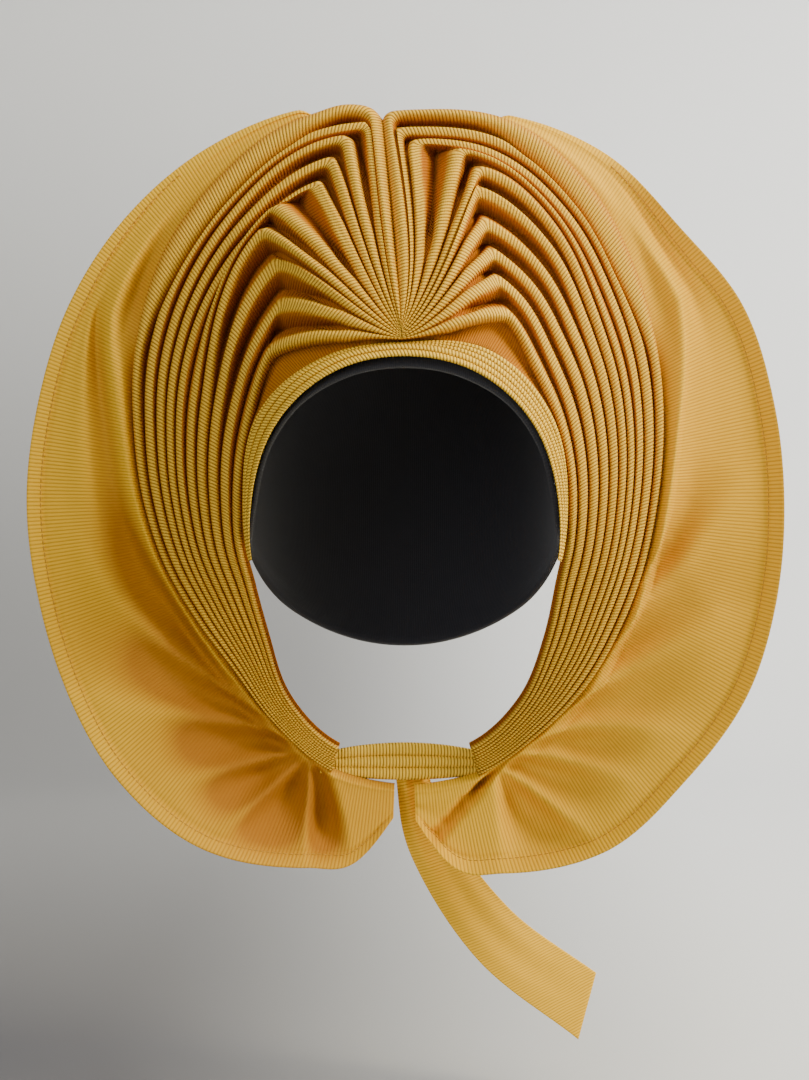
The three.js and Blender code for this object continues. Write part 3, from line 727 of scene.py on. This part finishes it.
def beside_ridge(side, ridge, x, z):
    """How far below a ridge each point lies, and how far along towards the gather."""
    ax, az, bx, bz, cx, cz = ridge
    t = np.linspace(0, 1, 33)
    kx, kz = 2 * bx - (ax + cx) / 2, 2 * bz - (az + cz) / 2
    px = (1 - t) ** 2 * ax + 2 * t * (1 - t) * kx + t * t * cx
    pz = (1 - t) ** 2 * az + 2 * t * (1 - t) * kz + t * t * cz
    tx, tz = np.gradient(px), np.gradient(pz)
    away = (x[..., None] - px) ** 2 + (z[..., None] - pz) ** 2
    near = np.argmin(away, axis=-1)
    cross = tx[near] * (z - pz[near]) - tz[near] * (x - px[near])
    return side * np.sign(cross) * np.sqrt(away.min(axis=-1)), t[near]


def soft_valleys(side, x, z):
    """How far the border sinks between the ridges of its soft folds."""
    sunken = np.zeros_like(x)
    found = [beside_ridge(side, ridge, x, z) for ridge in FOLD_RIDGES[side]]
    for (above, reach), (below, next_reach) in zip(found, found[1:]):
        between = (above > 0) & (below <= 0)
        gap = np.where(between, above - below, 1.0)
        share = np.clip(above / gap, 0, 1)
        strength = ease(0.5 * (reach + next_reach), 0.02, 0.6)
        depth = np.minimum(FOLD_DEPTH * strength, FOLD_STEEPNESS * gap)
        sunken += np.where(between, depth * np.sin(math.pi * share**0.66), 0)
    for _ in range(FOLD_SMOOTHING):
        spread = np.pad(sunken, 1, mode="edge")
        beside = spread[:-2, 1:-1] + spread[2:, 1:-1] + spread[1:-1, :-2] + spread[1:-1, 2:]
        sunken = 0.2 * (sunken + beside)
    return sunken


def border_grid(side):
    """The front of one half of the border, with its wall, its threads, the painted shade of its folds and where it
    is sewn.
    """
    even = np.linspace(0, 1, BORDER_STEPS + 1)
    angle = lerp(BORDER_FROM, BORDER_TO, even + 0.35 * even * (1 - even))
    here = section(side, angle)
    edge = ridge_line(side, PLEATS[-1])[: ARC_STEPS - 4]
    edge_angle = np.degrees(np.abs(np.arctan2(edge[:, 0], edge[:, 2] - OPENING_Z)))[::-1]
    edge_reach = np.hypot(edge[:, 0], edge[:, 2] - OPENING_Z)[::-1]
    root = np.interp(angle, edge_angle, edge_reach)
    gathered = lerp(here["inner"], here["outer"], PLEATS[-1][1])
    root += (gathered - root) * ease(angle, *ROOT_GATHERS) - ROOT_LAP
    hidden = 1 - ease(angle, BORDER_FROM, START_TUCK["to"])
    root -= START_TUCK["inward"] * hidden
    width = np.maximum(here["hem"] - START_TUCK["narrower"] * hidden - root, START_TUCK["slimmest"])
    creased = ease(angle, *CREASE_STARTS) * (1 - ease(angle, *CREASE_FADES[side]))
    dip = lerp(0.25, 1.0, ease(BORDER_TO - angle, 8, 45))
    crease = np.clip((here["outer"] + here["crease"] - root) / width, 0.04, 0.42)
    hollow = np.minimum(crease + CREASE_WIDTH[side] / width, 0.62)
    beside_pleats = ease(angle, *BESIDE_PLEATS)
    hem = 1 - np.minimum(HEM_WIDTH / width, 0.2)
    shares = [0 * width, 0.55 * crease, crease, hollow]
    shares += [lerp(hollow, hem, 0.36), lerp(hollow, hem, 0.7), hem, 1 + 0 * width]
    sag = lerp(SOFT_SAG[side], FLARE_SAG[side], creased) * lerp(TOP_SAG, 1.0, ease(angle, *TOP_SAG_FADES))
    behind = (edge_drop(side, angle) + FAN_WALL + 0.5) * np.maximum(dip, 0.5)
    reliefs = [
        behind,
        lerp(0.5 * behind, lerp(*STRIP_DEPTH[side], beside_pleats), creased) * dip,
        lerp(3, -CREASE_RISE[side], creased) * dip,
        lerp(2, CREASE_DIP[side] * beside_pleats, creased) * dip,
        sag * dip,
        0.5 * sag * dip,
        0 * dip,
        0 * dip,
    ]
    shares = np.stack(shares, axis=1)
    reliefs = lerp(np.stack(reliefs, axis=1), behind[:, None], hidden[:, None])
    slopes = np.gradient(reliefs, axis=1) / np.gradient(shares, axis=1)
    slopes[:, 2] *= 0.2
    columns, heights = [], []
    for k, count in enumerate(BORDER_COLUMNS):
        gap = shares[:, k + 1] - shares[:, k]
        for t in np.arange(count) / count:
            columns.append(shares[:, k] + gap * t)
            ends = reliefs[:, k], reliefs[:, k + 1], slopes[:, k], slopes[:, k + 1]
            heights.append(curve_between(*ends, gap, t))
    columns.append(shares[:, -1])
    heights.append(reliefs[:, -1])
    share, relief = np.stack(columns, axis=1), np.stack(heights, axis=1)
    hem_y = lerp(here["hem_y"], here["outer_y"], hidden)
    y = lerp(here["outer_y"][:, None], hem_y[:, None], share) + relief
    grid = round_opening(side * angle[:, None], root[:, None] + width[:, None] * share, y)
    inside = ease(share, 0, 0.14) * (1 - 0.55 * ease(share, 0.76, 1))
    folded = soft_valleys(side, grid[..., 0], grid[..., 2]) * inside
    grid[..., 1] += folded
    # Painted shade: deeper in the sunken folds and relief, plus an even share low on the left and high on the
    # right.
    even_shade = LOW_SHADE[side] * ease(angle, *LOW_SHADE_STARTS)
    even_shade += HIGH_SHADE[side] * (1 - ease(angle, *HIGH_SHADE_FADES))
    fold = np.clip(np.clip(relief / 14 + folded / 8, 0, 1) * BORDER_SHADE[side] + even_shade[:, None], 0, 1)
    turned = np.clip((share - hem[:, None]) / (1 - hem[:, None]), 0, 1)
    full = (ease(width, *HEM_GROWS) * ease(angle, *HEM_STARTS))[:, None]
    past_hem = (share - hem[:, None]) * width[:, None]
    grid[..., 1] -= full * (HEM_CURL[side] * turned**1.1 + 0.5 * ease(turned, 0.02, 0.2))
    grid[..., 1] += HEM_GROOVE["depth"] * full * np.exp(-((past_hem / HEM_GROOVE["half"]) ** 2))
    wall = lerp(BORDER_WALL["flare"], BORDER_WALL["hem"], ease(turned, 0, 0.3))
    wall += BORDER_WALL["more_at_root"] * (1 - ease(share, 0, 0.3))
    mean = lerp(root, here["hem"], 0.62)
    along = np.concatenate([[0], np.cumsum(np.radians(np.diff(angle)) * mean[1:])])[:, None]
    return grid, wall, along, travelled(grid, 1), fold, width > STITCHED_WIDTH


def stitch_row(name, places, headings, outward):
    """Machine stitches: short slim loops laid end to end along a hem."""
    verts, faces = [], []
    sides = STITCH["sides"]
    turns = np.arange(sides) * (2 * math.pi / sides)
    profile = [(-0.5, 0.25), (-0.3, 0.85), (0.0, 1.0), (0.3, 0.85), (0.5, 0.25)]
    for place, heading, out in zip(places, headings, outward):
        side = np.cross(heading, out)
        base = len(verts)
        for run, size in profile:
            centre = place + heading * run * STITCH["length"]
            for turn in turns:
                ring = out * math.cos(turn) + side * math.sin(turn)
                verts.append((centre + ring * size * STITCH["thickness"]) * MM)
        for ring in range(len(profile) - 1):
            for k in range(sides):
                a, b = base + ring * sides + k, base + ring * sides + (k + 1) % sides
                faces.append((a, b, b + sides, a + sides))
        faces.append(tuple(base + k for k in reversed(range(sides))))
        last = base + (len(profile) - 1) * sides
        faces.append(tuple(last + k for k in range(sides)))
    mesh = bpy.data.meshes.new(name)
    mesh.from_pydata([tuple(v) for v in verts], [], faces)
    return finished(name, mesh, golden_thread)


def stitches_along(name, line, before, after):
    """Stitches at even distances along a line of the cloth, standing on its front."""
    walked = travelled(line, 0)
    stops = np.arange(STITCH["pitch"], walked[-1] - STITCH["pitch"], STITCH["pitch"])

    def at(points):
        return np.stack([np.interp(stops, walked, points[:, i]) for i in range(3)], axis=1)

    heading = at(np.gradient(line, axis=0))
    heading /= np.linalg.norm(heading, axis=1)[:, None]
    crosswise = at(after - before)
    outward = np.cross(heading, crosswise)
    outward /= np.linalg.norm(outward, axis=1)[:, None]
    outward *= -np.sign(outward[:, 1:2])
    return stitch_row(name, at(line) + STITCH["lift"] * outward, heading, outward)


def set_border(side, hand):
    grid, wall, along, across, fold, sewn = border_grid(side)
    if side < 0:
        grid, wall, along, across = grid[::-1], wall[::-1], along[::-1], across[::-1]
        fold, sewn = fold[::-1], sewn[::-1]
    back = grid.copy()
    back[..., 1] += wall
    piece = cloth_piece(
        f"border_{hand}_cloth", grid, back, along, across, spread_cloth, fold=fold
    )
    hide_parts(f"border_{hand}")
    before, seam, after = (grid[sewn, HEM_COLUMN + k] for k in (-1, 0, 1))
    stitches = stitches_along(f"hem_stitches_{hand}", seam, before, after)
    return piece, stitches


def set_band():
    """The band of rounded cords that lies on the front edge of the cap."""
    angle = np.linspace(BAND[0][0], BAND[-1][0], BAND_STEPS + 1)
    row = band_at(angle)
    cords = np.maximum(row[:, 3:], SLIMMEST_CORD)
    ends = np.concatenate([np.zeros((len(angle), 1)), np.cumsum(cords, axis=1)], axis=1)
    ends /= ends[:, -1:]
    width = (row[:, 1] - row[:, 0])[:, None]
    turn = np.linspace(-math.pi / 2, math.pi / 2, CORD_STEPS + 1)[:-1]
    shares, rises, slants = [], [], []
    for k in range(cords.shape[1]):
        middle = 0.5 * (ends[:, k] + ends[:, k + 1])[:, None]
        half = 0.5 * (ends[:, k + 1] - ends[:, k])[:, None]
        shares.append(middle + half * np.sin(turn))
        slants.append(half * np.sin(turn))
        rises.append(np.minimum(CORD_RISE, 1.3 * half * width) * np.cos(turn))
    shares.append(np.ones((len(angle), 1)))
    rises.append(np.zeros((len(angle), 1)))
    slants.append(half)
    share, rise = np.concatenate(shares, axis=1), np.concatenate(rises, axis=1)
    radius = row[:, :1] + width * share
    spread = np.broadcast_to(angle[:, None], radius.shape)
    front = round_opening(spread, radius, band_depth(spread, radius) - rise)
    back = front + np.array([0, BAND_WALL, 0])
    along = travelled(front, 0).mean(axis=1)[:, None] + RIB_SLANT * width * np.concatenate(slants, axis=1)
    piece = cloth_piece(
        "forehead_band_cloth", front, back, along, travelled(front, 1), golden_cloth
    )
    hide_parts("forehead_band")
    return piece


def on_dome(turn, lift, let_out):
    turn, lift = np.radians(turn), np.radians(lift)
    level = np.cos(lift)
    aim = np.stack([np.sin(turn) * level, -np.cos(turn) * level, np.sin(lift) + 0 * turn], axis=-1)
    size = ((np.abs(aim) / (DOME + let_out[..., None])) ** DOME_SQUARENESS).sum(axis=-1)
    return aim * (size ** (-1 / DOME_SQUARENESS))[..., None] - np.array([0, 0, DOME[2]])


def set_cap():
    """The lining cap, with a narrow turned edge round its rim."""
    turn = np.linspace(0, 360, CAP_STEPS + 1)[:-1, None]
    rim = rim_at(np.where(turn > 180, 360 - turn, turn))[..., 0]
    even = np.concatenate([np.linspace(0, 0.09, 7)[:-1], np.linspace(0.09, 0.994, 34)])[None, :]
    lift = lerp(rim, 90.0, even)
    turn = np.broadcast_to(turn, lift.shape)
    edge = CAP_EDGE["rise"] * (1 - ease(even, CAP_EDGE["from"], CAP_EDGE["to"]))
    edge = edge - CAP_SEAM["depth"] * np.exp(-(((even - CAP_SEAM["at"]) / CAP_SEAM["half"]) ** 2))
    edge = np.broadcast_to(edge, lift.shape)
    front = on_dome(turn, lift, CAP_WALL - 0.5 * AIR + edge)
    back = on_dome(turn, lift, -0.6 * edge)
    along = np.radians(turn) * KNIT_RADIUS
    piece = cloth_piece(
        "lining_cap_knit", front, back, along, travelled(front, 1), black_knit, wraps=True
    )
    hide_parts(*(f"lining_cap_{panel}" for panel in ("crown", "front", "right", "back", "left")))
    return piece


def set_nape_tie():
    """The tie, in long rounded folds that draw together at both ends."""
    reach = np.linspace(-1, 1, 91)[:, None]
    waist = 1 - reach**2
    turn = np.linspace(-math.pi / 2, math.pi / 2, CORD_STEPS + 1)[:-1]
    folds = [(k + 0.5 + 0.5 * np.sin(turn)) / NAPE_FOLDS for k in range(NAPE_FOLDS)]
    share = np.concatenate(folds + [[1.0]])[None, :]
    rise = np.concatenate([np.cos(turn)] * NAPE_FOLDS + [[0.0]])[None, :]
    height = lerp(NAPE["side_height"], NAPE["height"], waist)
    y = lerp(NAPE["side_y"], NAPE["middle_y"], waist) - CORD_RISE * lerp(0.4, 1, waist) * rise
    front = np.stack([NAPE["half"] * reach + 0 * share, y, NAPE["z"] + height * (share - 0.5)], axis=-1)
    back = front + np.array([0, 1.4 * TIE_WALL, 0])
    along, across = travelled(front, 0), travelled(front, 1)
    piece = cloth_piece("nape_tie_cloth", front, back, along, across, golden_cloth)
    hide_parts("nape_tie")
    return piece


def set_tail():
    """The loose tail, gathered where it leaves the tie and opening to a hemmed end."""
    t = np.linspace(0, 1, 111)
    stops = smooth_table([(i / (len(TAIL) - 1), *stop) for i, stop in enumerate(TAIL)])(t)
    middle, width = stops[:, :3], stops[:, 3]
    heading = np.gradient(middle, axis=0)
    heading /= np.linalg.norm(heading, axis=1)[:, None]
    crosswise = np.stack([-heading[:, 2], 0 * t, heading[:, 0]], axis=1)
    crosswise = lerp(crosswise, np.array([0, 0, 1.0]), (TAIL_UPRIGHT * t)[:, None])
    crosswise /= np.linalg.norm(crosswise, axis=1)[:, None]
    share = np.linspace(-0.5, 0.5, 41)
    front = middle[:, None] + crosswise[:, None] * (width[:, None] * share)[..., None]
    folds = 0.5 - 0.5 * np.cos(4 * math.pi * (share + 0.5))
    front[..., 1] -= TAIL_FOLD * folds[None] * (1 - t[:, None])
    front[..., 1] += TAIL_WAVE * np.sin(t * 9)[:, None] * (share + 0.5)[None]
    back = front + np.array([0, TIE_WALL, 0])
    along, across = travelled(front, 0), travelled(front, 1)
    piece = cloth_piece("tie_tail_cloth", front, back, along, across, spread_cloth)
    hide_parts("tie_tail")
    return piece


def pale_sweep():
    """A pale floor that sweeps up into a plain wall far behind."""
    bend = np.linspace(0, math.pi / 2, 25)
    start, radius, half = SWEEP["from"], SWEEP["radius"], SWEEP["half_width"]
    profile = [(SWEEP["front"], FLOOR_Z), (start - 0.2, FLOOR_Z)]
    profile += [(start + radius * math.sin(a), FLOOR_Z + radius * (1 - math.cos(a))) for a in bend]
    profile += [(start + radius, SWEEP["top"])]
    verts = [(x, y, z) for y, z in profile for x in (-half, half)]
    faces = [(2 * i, 2 * i + 1, 2 * i + 3, 2 * i + 2) for i in range(len(profile) - 1)]
    mesh = bpy.data.meshes.new("backdrop")
    mesh.from_pydata(verts, [], faces)
    mesh.shade_smooth()
    mesh.materials.append(painted_backdrop("pale_backdrop"))
    backdrop = bpy.data.objects.new("backdrop", mesh)
    bpy.context.scene.collection.objects.link(backdrop)


def soft_light(name, place, aim, size, watts, colour):
    lamp = bpy.data.lights.new(name, "AREA")
    lamp.shape = "DISK"
    lamp.size = size
    lamp.energy = watts
    lamp.color = colour
    holder = bpy.data.objects.new(name, lamp)
    way = np.array(aim) - np.array(place)
    flat = math.hypot(way[0], way[1])
    tilt = math.pi / 2 - math.atan2(-way[2], flat)
    swing = math.atan2(way[1], way[0]) - math.pi / 2
    holder.location = place
    holder.rotation_euler = (tilt, 0, swing)
    holder.visible_camera = False
    bpy.context.scene.collection.objects.link(holder)


def set_camera():
    lens = bpy.data.cameras.new("front_camera")
    lens.sensor_width = CAMERA["sensor"]
    lens.lens = CAMERA["sensor"] * CAMERA["away"] / (CAMERA["frame_height"] * CAMERA["pixel"])
    camera = bpy.data.objects.new("front_camera", lens)
    camera.location = (0, -CAMERA["away"] * MM, CAMERA["z"] * MM)
    camera.rotation_euler = (math.pi / 2, 0, 0)
    bpy.context.scene.collection.objects.link(camera)
    bpy.context.scene.camera = camera


def set_lights():
    for light in LIGHTS:
        soft_light(*light)
    world = bpy.data.worlds.new("pale_room")
    world.use_nodes = True
    background = world.node_tree.nodes["Background"]
    background.inputs["Color"].default_value = ROOM_COLOUR
    background.inputs["Strength"].default_value = ROOM_STRENGTH
    bpy.context.scene.world = world


set_camera()
pale_sweep()
set_lights()

cap = set_cap()
band = set_band()
pleats_left = set_pleats(-1, "left")
pleats_right = set_pleats(1, "right")
border_left, stitches_left = set_border(-1, "left")
border_right, stitches_right = set_border(1, "right")
nape_tie = set_nape_tie()
tail = set_tail()
